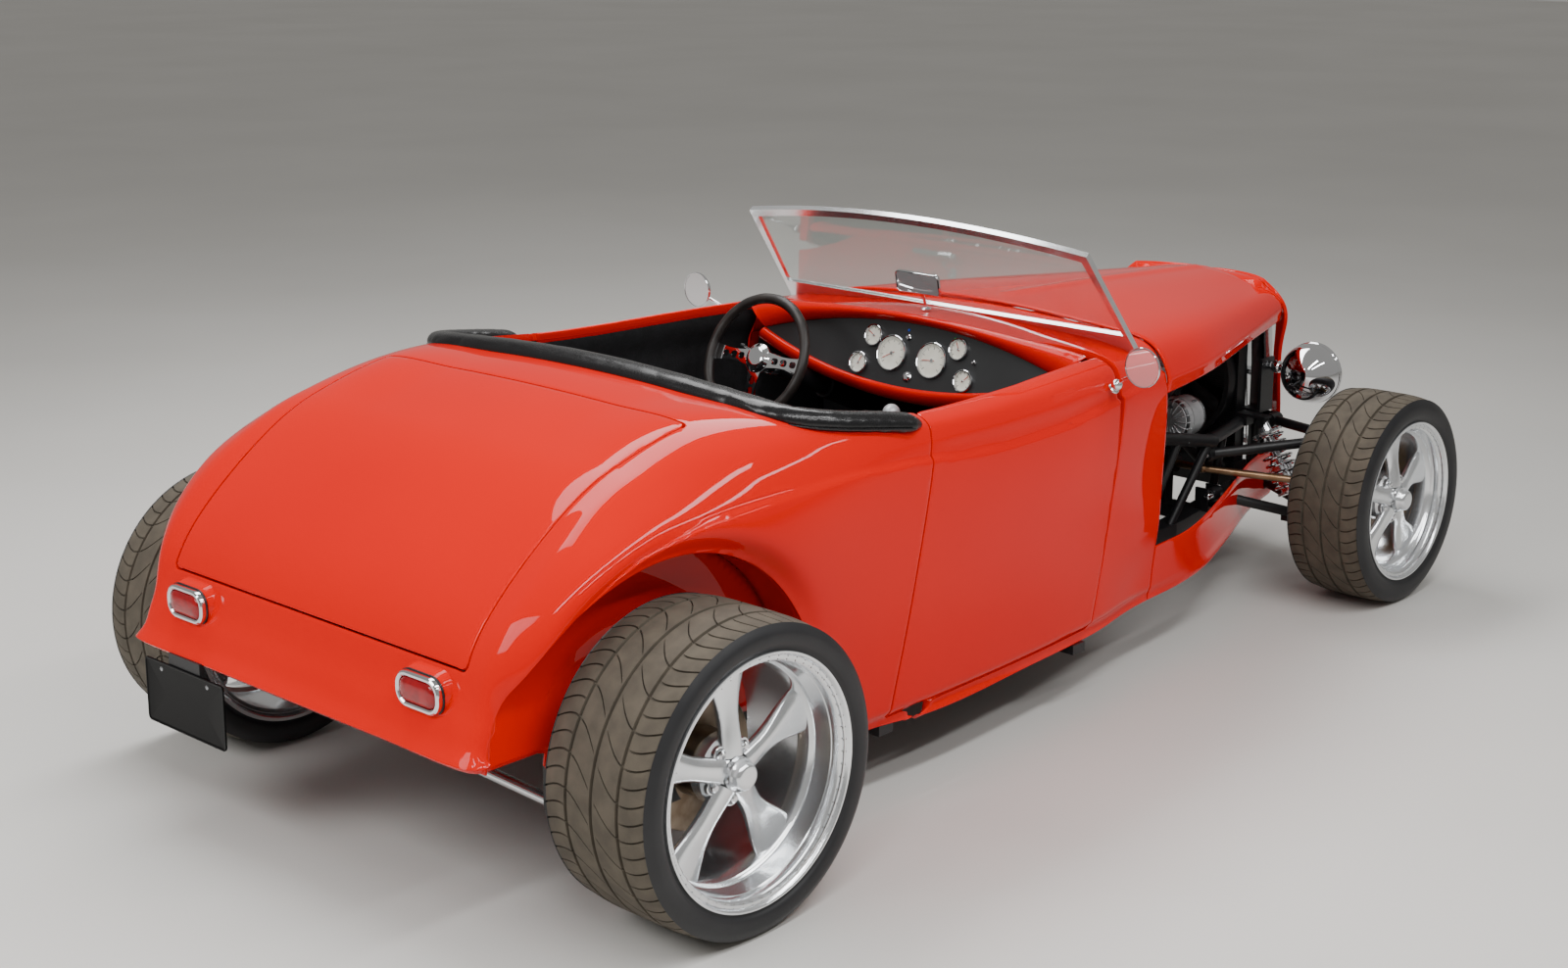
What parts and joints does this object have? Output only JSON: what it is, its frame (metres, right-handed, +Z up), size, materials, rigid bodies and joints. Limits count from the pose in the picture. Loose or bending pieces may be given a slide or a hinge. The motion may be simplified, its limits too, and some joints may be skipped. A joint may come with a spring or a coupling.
{
  "type": "kit car",
  "caption": "Open two-seat roadster kit car with a rounded tail, raked screen, open engine bay and opening doors, hood and deck lid.",
  "frame": {"origin": "on the ground under the middle of the car's box", "axes": "+X forward, +Y to the car's left, +Z up"},
  "size_m": [3.6389, 1.872, 1.2092],
  "materials": {
    "paint": "high gloss",
    "polished": "polished",
    "frame_black": "satin",
    "trim_black": "matt",
    "vinyl": "grained",
    "wheel_rim_leather": "grained",
    "clear_glass": "clear",
    "lamp_glass": "clear",
    "red_lens": "clear",
    "tyre_rubber": "matt",
    "wheel_alloy": "polished",
    "cast_alloy": "cast",
    "engine_black": "painted",
    "steel": "satin",
    "brass_rod": "zinc yellow",
    "plate_white": "satin",
    "mirror_glass": "mirror",
    "dial": "gloss"
  },
  "bodies": {
    "car": {"body_shell": "paint", "grille_shell": "paint", "grille_bars": "polished", "side_aprons": "paint", "inside_mirror": "mirror_glass", "windscreen_frame": "polished", "windscreen_glass": "clear_glass", "dash_panel": "trim_black", "gauges": "dial", "steering_column": "trim_black", "gear_lever": "trim_black", "cockpit_pad": "vinyl", "seats": "vinyl", "floor_tub": "trim_black", "frame_rails": "frame_black", "cross_members": "frame_black", "bay_tubes": "frame_black", "headlight_shells": "polished", "headlight_lenses": "lamp_glass", "headlight_stands": "frame_black", "tail_lamp_bezels": "polished", "tail_lamp_lenses": "red_lens", "number_plate": "plate_white", "engine_block": "engine_black", "engine_drive": "cast_alloy", "engine_top": "cast_alloy", "exhaust": "steel", "radiator": "trim_black", "driveline": "cast_alloy", "rear_axle": "engine_black", "rear_links": "frame_black", "track_bar": "steel", "coilovers": "frame_black", "control_arms": "frame_black", "steering_rack": "cast_alloy"},
    "steering_wheel": {"steering_wheel": "wheel_rim_leather"},
    "rack": {"steering_rods": "brass_rod"},
    "deck_lid": {"deck_lid": "paint"},
    "hood": {"hood": "paint"},
    "door_right": {"door_right": "paint", "mirror_right": "polished"},
    "knuckle_right": {"knuckle_right": "engine_black"},
    "wheel_front_right": {"tyre_front_right": "tyre_rubber", "rim_front_right": "wheel_alloy"},
    "wheel_rear_right": {"tyre_rear_right": "tyre_rubber", "rim_rear_right": "wheel_alloy"},
    "door_left": {"door_left": "paint", "mirror_left": "polished"},
    "knuckle_left": {"knuckle_left": "engine_black"},
    "wheel_front_left": {"tyre_front_left": "tyre_rubber", "rim_front_left": "wheel_alloy"},
    "wheel_rear_left": {"tyre_rear_left": "tyre_rubber", "rim_rear_left": "wheel_alloy"}
  },
  "joints": [
    {"name": "wheel_rear_right_spin", "type": "hinge", "parent": "car", "child": "wheel_rear_right", "pos_m": [-1.3305, -0.784, 0.333], "axis": [0, 1, 0], "continuous": true},
    {"name": "wheel_front_right_spin", "type": "hinge", "parent": "knuckle_right", "child": "wheel_front_right", "pos_m": [1.5145, -0.716, 0.306], "axis": [0, 1, 0], "continuous": true},
    {"name": "steer_right", "type": "hinge", "parent": "car", "child": "knuckle_right", "pos_m": [1.5145, -0.6, 0.306], "axis": [0, 0, 1], "range_deg": [-28, 28]},
    {"name": "door_right_hinge", "type": "hinge", "parent": "car", "child": "door_right", "pos_m": [-0.59202, -0.73, 0.5], "axis": [-0.1272, 0, -0.9919], "range_deg": [0, 65]},
    {"name": "wheel_rear_left_spin", "type": "hinge", "parent": "car", "child": "wheel_rear_left", "pos_m": [-1.3305, 0.784, 0.333], "axis": [0, 1, 0], "continuous": true},
    {"name": "wheel_front_left_spin", "type": "hinge", "parent": "knuckle_left", "child": "wheel_front_left", "pos_m": [1.5145, 0.716, 0.306], "axis": [0, 1, 0], "continuous": true},
    {"name": "steer_left", "type": "hinge", "parent": "car", "child": "knuckle_left", "pos_m": [1.5145, 0.6, 0.306], "axis": [0, 0, 1], "range_deg": [-28, 28]},
    {"name": "door_left_hinge", "type": "hinge", "parent": "car", "child": "door_left", "pos_m": [-0.59202, 0.73, 0.5], "axis": [0.1272, 0, 0.9919], "range_deg": [0, 65]},
    {"name": "steering_wheel_turn", "type": "hinge", "parent": "car", "child": "steering_wheel", "pos_m": [-0.0005, 0.35, 0.8], "axis": [-0.9135, 0, 0.4067], "range_deg": [-421, 421]},
    {"name": "rack_slide", "type": "slide", "parent": "car", "child": "rack", "axis": [0, 1, 0], "range_m": [-0.0642, 0.0642]},
    {"name": "deck_lid_hinge", "type": "hinge", "parent": "car", "child": "deck_lid", "pos_m": [-1.1125, 0, 0.968], "axis": [0, 1, 0], "range_deg": [0, 60]},
    {"name": "hood_hinge", "type": "hinge", "parent": "car", "child": "hood", "pos_m": [1.6335, 0, 0.885], "axis": [0, 1, 0], "range_deg": [0, 50]}
  ],
  "couplings": [
    {"joint": "steer_right", "follows": "steer_left", "ratio": 1},
    {"joint": "steering_wheel_turn", "follows": "steer_left", "ratio": 15},
    {"joint": "rack_slide", "follows": "steer_left", "m_per_rad": -0.13}
  ]
}
